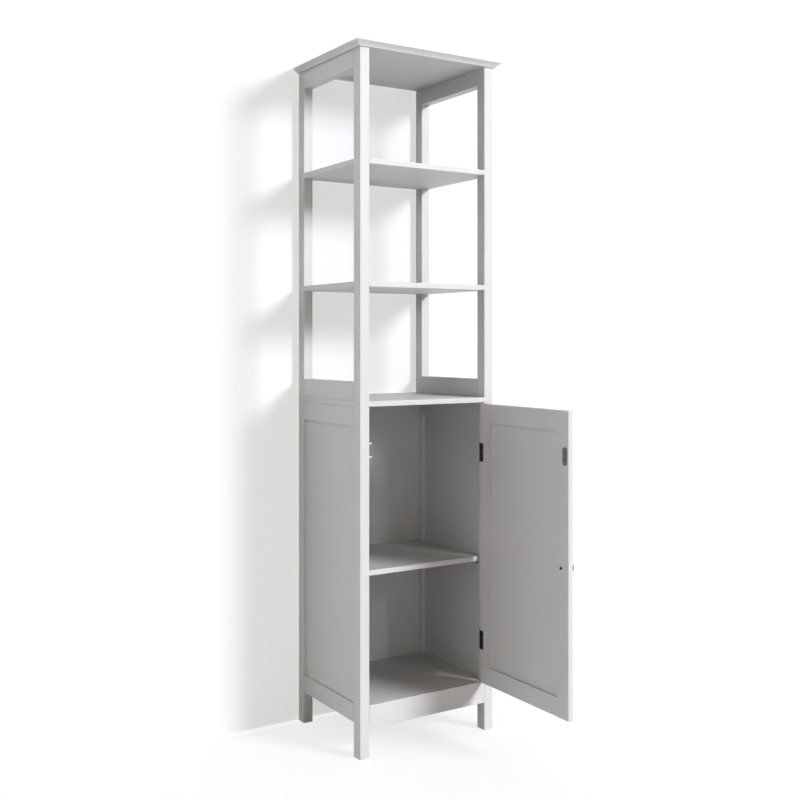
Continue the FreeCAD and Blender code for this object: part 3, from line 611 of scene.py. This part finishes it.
# %% Measure the cove
HAIR = Vector((1, 1, 1)) * 0.003 * MM  # keeps the swept edge inside the drawn top
TOP_LOW, TOP_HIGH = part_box("top_board")[0] + HAIR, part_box("top_board")[1] - HAIR
TOP_WIDTH, TOP_DEPTH, TOP_HEIGHT = (high - low for low, high in zip(TOP_LOW, TOP_HIGH))
BACK_MIDDLE = Vector(((TOP_LOW.x + TOP_HIGH.x) / 2, TOP_HIGH.y, TOP_HIGH.z))
SIDE_SWEEP, FRONT_SWEEP, LAND, LIFTS = 12.5 * MM, 11.5 * MM, 1.0 * MM, 7
COVE_SHARE = 0.55  # of the way out is a curve, and the rest a straight slope


def sweep(share):
    """How far out the edge is, from 0 to 1, at a share of its height."""
    return (1 - COVE_SHARE) * share + COVE_SHARE * (1 - cos(share * pi / 2))


def size_at(share):
    """The top's width and depth at a share of the cove's height."""
    out = 1 - sweep(share)
    return TOP_WIDTH - 2 * SIDE_SWEEP * out, TOP_DEPTH - FRONT_SWEEP * out


print("top grows from", [round(v, 4) for v in size_at(0)], "to", [round(v, 4) for v in size_at(1)])

# %% [markdown]
# ## Sweeping the cove upwards
#
# The block starts as high as one lift. Its upper face is then extruded and widened, lift by lift, and the last, short
# extrusion gives the upright land. The finished top is eased and painted like the boards.


# %% Sweep the cove
def select_faces(piece, chosen):
    """Leaves only the faces selected whose centre and normal satisfy a test."""
    bpy.ops.object.mode_set(mode="EDIT")
    bpy.ops.mesh.select_mode(type="FACE")
    bpy.ops.mesh.select_all(action="DESELECT")
    bpy.ops.object.mode_set(mode="OBJECT")
    for face in piece.data.polygons:
        face.select = chosen(face.center, face.normal)
    bpy.ops.object.mode_set(mode="EDIT")


def widen(before, after):
    """Scales what is selected from one width and depth to another, about the middle of the back."""
    ratio = (after[0] / before[0], after[1] / before[1], 1)
    bpy.ops.transform.resize(value=ratio, center_override=BACK_MIDDLE)


bpy.ops.object.select_all(action="DESELECT")
bpy.ops.mesh.primitive_cube_add(size=1, location=((TOP_LOW + TOP_HIGH) / 2))
top = bpy.context.object
top.name = "top_board_moulded"
top.scale = (TOP_WIDTH, TOP_DEPTH, TOP_HEIGHT)
bpy.ops.object.transform_apply(location=True, rotation=True, scale=True)
select_faces(top, lambda centre, normal: True)
widen((TOP_WIDTH, TOP_DEPTH), size_at(0))
select_faces(top, lambda centre, normal: normal.z > 0.9)
rise = TOP_HEIGHT - LAND
bpy.ops.transform.translate(value=(0, 0, rise / LIFTS - rise - LAND))
widen(size_at(0), size_at(1 / LIFTS))
for lift in range(1, LIFTS):
    bpy.ops.mesh.extrude_region_move(TRANSFORM_OT_translate={"value": (0, 0, rise / LIFTS)})
    widen(size_at(lift / LIFTS), size_at((lift + 1) / LIFTS))
bpy.ops.mesh.extrude_region_move(TRANSFORM_OT_translate={"value": (0, 0, LAND)})
bpy.ops.object.mode_set(mode="OBJECT")
TOP_EASE = 0.35 * MM
round_off(top, TOP_EASE, segments=2, sharper_than=25)
top.data.materials.append(paint("paint_top_board", (TOP_LOW, TOP_HIGH), (TOP_LOW, TOP_HIGH), WOOD_RIDGES))
fit(top, "top_board")
print("top swept in", LIFTS, "lifts,", len(top.data.polygons), "faces")

# %% [markdown]
# ## The hinge leaves
#
# The hinge leaves are stamped from sheet, so their free corners are rounded and their edges slightly broken. The
# welded copy already has the knuckles and the sunk screw holes, which would be slow to model again. So only two
# corners are picked out by their place and rounded, and then every sharp edge is broken.


# %% Round the leaves of the hinges
def round_corners(piece, corners, radius, segments=6):
    """Rounds the short edges of a plate that pass through certain corners, given as (y, z)."""
    only(piece)
    bpy.ops.object.mode_set(mode="EDIT")
    bpy.ops.mesh.select_mode(type="EDGE")
    bpy.ops.mesh.select_all(action="DESELECT")
    bpy.ops.object.mode_set(mode="OBJECT")
    mesh = piece.data
    for edge in mesh.edges:
        ends = [mesh.vertices[i].co for i in edge.vertices]
        edge.select = any(
            all(abs(end.y - y) < SAME_PLACE and abs(end.z - z) < SAME_PLACE for end in ends) for y, z in corners
        )
    bpy.ops.object.mode_set(mode="EDIT")
    bpy.ops.mesh.bevel(offset=radius, segments=segments, affect="EDGES")
    bpy.ops.object.mode_set(mode="OBJECT")


LEAF_CORNER, LEAF_EDGE = 2.5 * MM, 0.12 * MM
for level in ("lower", "upper"):
    for leaf, free_side in (("post_leaf", HIGH_SIDE), ("door_leaf", LOW_SIDE)):
        name = f"{level}_hinge_{leaf}"
        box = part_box(name)
        plate = welded_copy(name)
        free_y = box[free_side].y
        round_corners(plate, [(free_y, box[0].z), (free_y, box[1].z)], LEAF_CORNER)
        fit(round_off(plate, LEAF_EDGE, segments=2, sharper_than=40), name)
        plate.data.materials[0] = FINISHES["dark_steel"]
        print(name, "has", len(plate.data.polygons), "faces")

# %% [markdown]
# ## The other fittings
#
# Pins, plates and mouldings all leave their tools with broken edges, and only the width of that edge differs: a
# moulded housing and a wooden tenon are softer than a pressed plate. So each gets the same steps, and a width from
# a list.

# %% Pins, catch, strike plate and tenons
EDGES = {  # the width of the broken edge, in millimetres
    "lower_hinge_pin": 0.35,
    "upper_hinge_pin": 0.35,
    "catch_housing": 0.5,
    "catch_magnet": 0.25,
    "catch_plates": 0.12,
    "strike_plate": 0.25,
    "shelf_pins": 0.5,
    "middle_tenons": 0.8,
    "top_tenons": 0.8,
}
for name, width in EDGES.items():
    fitting = fit(round_off(welded_copy(name), width * MM, segments=3, sharper_than=40), name)
    fitting.data.materials[0] = FINISHES["strike_steel" if name == "strike_plate" else slots[name]]
print(len(EDGES), "fittings broken at their edges")

# %% [markdown]
# ## The turned knob
#
# The knob is turned from one bar: a small foot against the door, a waist, and a flat head with a soft rim and a
# domed face. Its outline could be spun round the axis, which leaves a seam and a pole to be closed. Here a lathe is
# imitated by a ring that is extruded along the knob's axis and scaled to each radius in turn, which has neither. The
# knob points away from the door's outer face, which is along +X while the door stands open.

# %% Turn the knob
KNOB_LOW, KNOB_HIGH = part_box("door_knob")
KNOB_AXIS = (KNOB_LOW + KNOB_HIGH) / 2
TURNING = [  # radius and distance from the door in millimetres
    (6.0, 0.0), (6.2, 0.3), (6.2, 1.1), (5.9, 1.5), (4.9, 2.1), (4.4, 3.2), (4.3, 5.0), (4.6, 7.0), (5.6, 8.8),
    (7.2, 10.3), (8.8, 11.6), (9.7, 12.8), (10.0, 14.0), (9.9, 14.9), (9.4, 15.7), (8.2, 16.6), (6.4, 17.5),
    (4.2, 18.2), (2.0, 18.6), (0.8, 18.7),
]
bpy.ops.object.select_all(action="DESELECT")
bpy.ops.mesh.primitive_circle_add(vertices=64, radius=TURNING[0][0] * MM, fill_type="NGON", rotation=(0, pi / 2, 0))
knob = bpy.context.object
knob.name = "door_knob_turned"
knob.location = (KNOB_LOW.x, KNOB_AXIS.y, KNOB_AXIS.z)
bpy.ops.object.transform_apply(location=True, rotation=True, scale=True)
bpy.ops.object.mode_set(mode="EDIT")
bpy.ops.mesh.select_all(action="SELECT")
for (radius, reach), (next_radius, next_reach) in zip(TURNING, TURNING[1:]):
    bpy.ops.mesh.extrude_region_move(TRANSFORM_OT_translate={"value": ((next_reach - reach) * MM, 0, 0)})
    grow = next_radius / radius
    bpy.ops.transform.resize(value=(1, grow, grow), center_override=(0, KNOB_AXIS.y, KNOB_AXIS.z))
bpy.ops.mesh.select_all(action="SELECT")
bpy.ops.mesh.normals_make_consistent(inside=False)
bpy.ops.object.mode_set(mode="OBJECT")
bpy.ops.object.shade_smooth_by_angle(angle=radians(50))
knob.data.materials.append(FINISHES["knob_chrome"])
fit(knob, "door_knob")
print("knob turned with", len(TURNING), "steps and", len(knob.data.polygons), "faces")

# %% [markdown]
# ## The cross in a screw's head
#
# The screws have a cross for the driver. It could be painted on, but it is a real recess, whose walls slope so that
# the driver lets go when the screw is tight. Two bars with narrow undersides are joined into one cutter for it.

# %% Make the cutter for a cross
CUTTER_PROUD = 0.2 * MM  # how far the cutter stands out of the head
CROSS_TAPER = 0.45


def cut_from(piece, tool, operation="DIFFERENCE"):
    """Cuts a tool out of a piece, or joins it on, and uses the tool up."""
    only(piece)
    boolean = piece.modifiers.new("cut", "BOOLEAN")
    boolean.operation = operation
    boolean.object = tool
    boolean.solver = "EXACT"
    bpy.ops.object.modifier_apply(modifier=boolean.name)
    bpy.data.objects.remove(tool)


def cross_cutter(width, reach, depth):
    """A cross that narrows downwards, from just above zero height to a depth."""
    arms = []
    for turn in (0, pi / 2):
        bpy.ops.object.select_all(action="DESELECT")
        middle = (0, 0, -depth / 2 + CUTTER_PROUD / 2)
        bpy.ops.mesh.primitive_cube_add(size=1, location=middle, rotation=(0, 0, turn))
        arm = bpy.context.object
        arm.scale = (2 * reach, width, depth + CUTTER_PROUD)
        bpy.ops.object.transform_apply(location=True, rotation=True, scale=True)
        select_faces(arm, lambda centre, normal: normal.z < -0.9)
        bpy.ops.transform.resize(value=(CROSS_TAPER, CROSS_TAPER, 1), center_override=(0, 0, -depth))
        bpy.ops.object.mode_set(mode="OBJECT")
        arms.append(arm)
    cut_from(arms[0], arms[1], "UNION")
    return arms[0]


print("a cross narrows to", CROSS_TAPER, "of its size")

# %% [markdown]
# ## A screw
#
# One screw is made with its head's face at zero height and its point hanging down: a disc is drawn in to the
# countersink's cone, drawn out to the shank and closed at the point, and the cross is then cut out of the head. It
# is made upright at the origin, where it is easy to measure, and moved only once it is finished. Threads are left
# out, because the wood hides them all.


# %% Make a screw
def cross_screw(name, outline, cross, finish):
    """A screw from (radius, depth) steps and a cross of (width, reach, depth), all in millimetres."""
    bpy.ops.object.select_all(action="DESELECT")
    bpy.ops.mesh.primitive_circle_add(vertices=32, radius=outline[0][0] * MM, fill_type="NGON", location=(0, 0, 0))
    screw = bpy.context.object
    screw.name = name
    bpy.ops.object.mode_set(mode="EDIT")
    bpy.ops.mesh.select_all(action="SELECT")
    for (radius, depth), (next_radius, next_depth) in zip(outline, outline[1:]):
        bpy.ops.mesh.extrude_region_move(TRANSFORM_OT_translate={"value": (0, 0, -(next_depth - depth) * MM)})
        grow = next_radius / radius
        bpy.ops.transform.resize(value=(grow, grow, 1), center_override=(0, 0, 0))
    bpy.ops.mesh.select_all(action="SELECT")
    bpy.ops.mesh.normals_make_consistent(inside=False)
    bpy.ops.object.mode_set(mode="OBJECT")
    cut_from(screw, cross_cutter(*(size * MM for size in cross)))
    only(screw)
    bpy.ops.object.shade_smooth_by_angle(angle=radians(35))
    screw.data.materials.clear()
    screw.data.materials.append(finish)
    return screw


SMALL = [(2.25, 0), (2.4, 0.12), (1.35, 0.85), (1.3, 1.2), (1.3, 7.2), (0.9, 8.3), (0.1, 9.0)]
SMALL_CROSS = (0.55, 1.35, 0.9)
small_screw = cross_screw("screw", SMALL, SMALL_CROSS, FINISHES["screw_black"])
print("one small screw has", len(small_screw.data.polygons), "faces")

# %% [markdown]
# ## Driving the screws
#
# Each screw is a copy of the first with its own mesh, which is turned and moved to its hole. The hinge leaves have
# one screw above and one below their middle. With the door open at a right angle, its inner face and the leaves on
# the leg look the same way, to the left, so all the heads do too.

# %% Drive the small screws
LEFTWARDS = Vector((-1, 0, 0))


def drive(pattern, name, head, node, finish=None):
    """A copy of a screw with its head at a point, facing left."""
    screw = pattern.copy()
    screw.data = pattern.data.copy()
    screw.name = name
    bpy.context.scene.collection.objects.link(screw)
    turn = LEFTWARDS.to_track_quat("Z", "Y").to_matrix().to_4x4()
    screw.data.transform(Matrix.Translation(head) @ turn)
    if finish:
        screw.data.materials[0] = finish
    return fit(screw, node)


def left_face(name):
    """The middle of the left side of a drawn piece's box."""
    low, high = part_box(name)
    return Vector((low.x, (low.y + high.y) / 2, (low.z + high.z) / 2))


SCREW_SPREAD, LEAF_EDGE_TO_SCREW = 13 * MM, 6.75 * MM
leg_face = left_face("leg_screws")
for level in ("lower", "upper"):
    door_leaf_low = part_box(f"{level}_hinge_door_leaf")[0]
    for place, upwards in (("low", -1), ("high", 1)):
        height = left_face(f"{level}_hinge_post_leaf").z + upwards * SCREW_SPREAD
        leg_head = (leg_face.x, leg_face.y, height)
        door_head = (door_leaf_low.x, door_leaf_low.y + LEAF_EDGE_TO_SCREW, height)
        drive(small_screw, f"leg_screw_{level}_{place}", leg_head, "leg_screws")
        drive(small_screw, f"door_screw_{level}_{place}", door_head, "door_screws")
strike_head = left_face("strike_plate")
drive(small_screw, "door_screw_strike", strike_head, "door_screws", FINISHES["strike_steel"])
bpy.data.objects.remove(small_screw)
print("small screws driven, the last at", [round(v, 4) for v in strike_head])

# %% [markdown]
# ## The knob's screw
#
# The knob is held by a longer screw through the door. Its pan head stands on the door's inner face, and is the dark
# dot that shows there. It is made in the same way, from its own list of steps.

# %% Drive the knob's screw
KNOB_SCREW = [(2.6, 0), (3.0, 0.25), (3.2, 0.7), (3.2, 1.8), (2.0, 1.8), (2.0, 20.0), (1.6, 22.8)]
KNOB_CROSS = (0.8, 1.9, 1.3)
knob_screw = cross_screw("knob_screw_pattern", KNOB_SCREW, KNOB_CROSS, FINISHES["screw_black"])
drive(knob_screw, "knob_screw_crossed", left_face("knob_screw"), "knob_screw")
bpy.data.objects.remove(knob_screw)
print("knob's screw driven at", [round(v, 4) for v in left_face("knob_screw")])

# %% [markdown]
# ## The lamps
#
# One soft lamp, a little cool like daylight, stands high on the right in front, far enough away to throw the clear
# shadow that falls to the left of the cabinet. It is told to keep its strength over distance, so the foot is lit as
# well as the top. Two broad, weak and slightly warm lamps, one on the left and one behind the camera, open up the
# shaded faces. The back lamp stands behind the wall, and lights only what faces that way, for anyone who looks from
# behind. Small lamps would give hard edges to every shadow, so all four are wide discs.


# %% Lamps
def soft_lamp(name, place, target, size, strength, colour, fades):
    """A round lamp that faces a target; without fading, its light is as strong far away as near by."""
    lamp = bpy.data.lights.new(name, "AREA")
    lamp.shape = "DISK"
    lamp.size = size
    lamp.energy = strength
    lamp.color = colour
    if not fades:
        lamp.use_nodes = True
        even = lamp.node_tree.nodes.new("ShaderNodeLightFalloff")
        even.inputs["Strength"].default_value = 1.0
        lamp.node_tree.links.new(even.outputs["Constant"], lamp.node_tree.nodes["Emission"].inputs["Strength"])
    holder = bpy.data.objects.new(name, lamp)
    bpy.context.scene.collection.objects.link(holder)
    holder.location = place
    holder.rotation_euler = (Vector(target) - Vector(place)).to_track_quat("-Z", "Y").to_euler()
    return holder


KEY_TURN, KEY_DISTANCE, KEY_HEIGHT = radians(27), 6.0, 3.2
KEY_PLACE = (KEY_DISTANCE * sin(KEY_TURN), -KEY_DISTANCE * cos(KEY_TURN), KEY_HEIGHT)
BELOW_FLOOR, CABINET_MIDDLE = (0, 0, -2.0), (0, 0, 0.8)
LAMPS = [  # name, place, target, size in metres, strength, colour, and whether its light fades
    ("key", KEY_PLACE, BELOW_FLOOR, 1.7, 8.5, (0.917, 0.943, 1.0), False),
    ("fill", (-4.4, -1.2, 1.5), CABINET_MIDDLE, 2.5, 12.2, (1.0, 0.97, 0.915), True),
    ("front", (-1.6, -4.6, 1.0), CABINET_MIDDLE, 2.5, 14.5, (1.0, 0.955, 0.89), True),
    ("back", (1.2, 4.6, 2.4), CABINET_MIDDLE, 2.5, 120, (1.0, 0.99, 0.98), True),
]
for lamp in LAMPS:
    soft_lamp(*lamp)
print(len(LAMPS), "lamps, with the key lamp at", [round(v, 2) for v in KEY_PLACE])

# %% [markdown]
# ## Light from all round
#
# Indoors, light also comes from everywhere else: little from the sides, and more from above, where it is warmer.
# More lamps could stand in for it, but the world gives it in one step, as a tone that changes with height. What the
# camera sees of the world, straight or in a mirror, is plain white.

# %% Surroundings
SURROUND_SIDE, SURROUND_TOP = 0.03, 0.36
SIDE_UP_TO, TOP_DOWN_TO = 0.1, 0.8
world = bpy.data.worlds.new("studio")
bpy.context.scene.world = world
world.use_nodes = True


class Surround(Finish):
    """The same sums, written into the world."""

    def __init__(self, tree):
        self.tree = tree
        self.tree.nodes.clear()


around = Surround(world.node_tree)
height = around.node("SeparateXYZ", {}, {0: around.node("TexCoord", {}, {}, "Generated")}, "Z")
overhead = around.step(height, SIDE_UP_TO, TOP_DOWN_TO)
tint = around.mix(overhead, grey(SURROUND_SIDE, 0.01), grey(SURROUND_TOP, 0.15))
dim = around.node("Background", {}, {"Color": tint, "Strength": 1.0})
pure_white = around.node("Background", {}, {"Color": grey(1), "Strength": 1.0})
shown = around.node("MixShader", {}, {0: around.watched(), 1: dim, 2: pure_white})
around.node("OutputWorld", {}, {"Surface": shown})
print("surroundings from", SURROUND_SIDE, "at the sides to", SURROUND_TOP, "above")

# %% [markdown]
# ## From light to picture
#
# The Standard view shows a colour about as it is written, where the other views would bend it as film does. Light
# bounces only once between matt surfaces, because the surroundings already stand for the many bounces that light
# makes indoors, and counting them twice would wash out the inside of the cupboard.

# %% View and bounces
scene = bpy.context.scene
scene.view_settings.view_transform = "Standard"
scene.cycles.diffuse_bounces = 1
print("view", scene.view_settings.view_transform, "with", scene.cycles.diffuse_bounces, "bounce")

# %% [markdown]
# ## White that glows a little
#
# The floor and the wall are white. Plain white paint would need much more light than the cabinet can take, so part of
# their white is a glow of their own, which only the camera and mirrors see. The rest is weak paint that takes the
# cabinet's shadow, so the shadows stay pale, and no light is added to the cabinet.
#
# The wall is met from the front only, and lets all light from behind through. Light on its way to or from the
# cabinet's back, which stands close to the wall, passes too, so the back is lit as if the wall weren't there.

# %% Mix the white
CLOSE_TO_WALL = 25 * MM
SHADOW_COOLNESS = -0.025
DULLER_WHITE, BRIGHTER_WHITE = grey(0.88), grey(0.92)


def glowing_white(name, paint_share, glow, see_through):
    """White of which the camera sees part as a glow; other rays meet plain paint, or pass through."""
    white = Finish(name)
    blotches = white.noise(white.place(), 3, 2)
    weak_tone = white.mix(blotches, grey(0.98 * paint_share, SHADOW_COOLNESS), grey(paint_share, SHADOW_COOLNESS))
    plain = white.node("BsdfDiffuse", {}, {"Color": white.mix(blotches, DULLER_WHITE, BRIGHTER_WHITE)})
    weak = white.node("BsdfDiffuse", {}, {"Color": weak_tone})
    seen = white.node("AddShader", {}, {0: weak, 1: white.node("Emission", {}, {"Strength": glow})})
    whole = white.node("MixShader", {}, {0: white.watched(), 1: plain, 2: seen})
    if see_through:
        distant = white.math("GREATER_THAN", white.node("LightPath", {}, {}, "Ray Length"), CLOSE_TO_WALL)
        front = 1 - white.node("NewGeometry", {}, {}, "Backfacing")
        solid = front * white.math("MAXIMUM", white.watched(), distant)
        clear = white.node("BsdfTransparent", {}, {})
        whole = white.node("MixShader", {}, {0: solid, 1: clear, 2: whole})
    white.node("OutputMaterial", {}, {"Surface": whole})
    return white.material


FLOOR_WHITE = glowing_white("floor_white", paint_share=0.28, glow=0.78, see_through=False)
WALL_WHITE = glowing_white("wall_white", paint_share=0.52, glow=0.54, see_through=True)
print("mixed", FLOOR_WHITE.name, "and", WALL_WHITE.name)

# %% [markdown]
# ## Floor and wall
#
# Each is one flat sheet, so wide that its edges stay out of the picture. The cabinet stands on the floor, with its
# back a few millimetres in front of the wall. A curved studio backdrop would hide the corner between the two, but
# the clear shadow on an upright wall shows better how the posts and shelves stand.


# %% Set up the backdrop
def backdrop(name, corners, material):
    """One flat sheet, which isn't part of the cabinet."""
    sheet = bpy.data.meshes.new(name)
    sheet.from_pydata(corners, [], [(0, 1, 2, 3)])
    sheet.materials.append(material)
    placed = bpy.data.objects.new(name, sheet)
    bpy.context.scene.collection.objects.link(placed)
    return placed


WALL_GAP = 3 * MM
WALL = CAD_BOX[1].y + WALL_GAP
FLOOR_REACH, WALL_REACH, WALL_TOP = 14, 9, 6
floor_corners = [(x * FLOOR_REACH, y * FLOOR_REACH, 0) for x, y in ((-1, -1), (1, -1), (1, 1), (-1, 1))]
wall_corners = [(x * WALL_REACH, WALL, z * WALL_TOP) for x, z in ((-1, 0), (1, 0), (1, 1), (-1, 1))]
backdrop("floor", floor_corners, FLOOR_WHITE)
backdrop("wall", wall_corners, WALL_WHITE)
print("wall stands", round(WALL, 3), "behind the middle")

# %% [markdown]
# ## Last checks
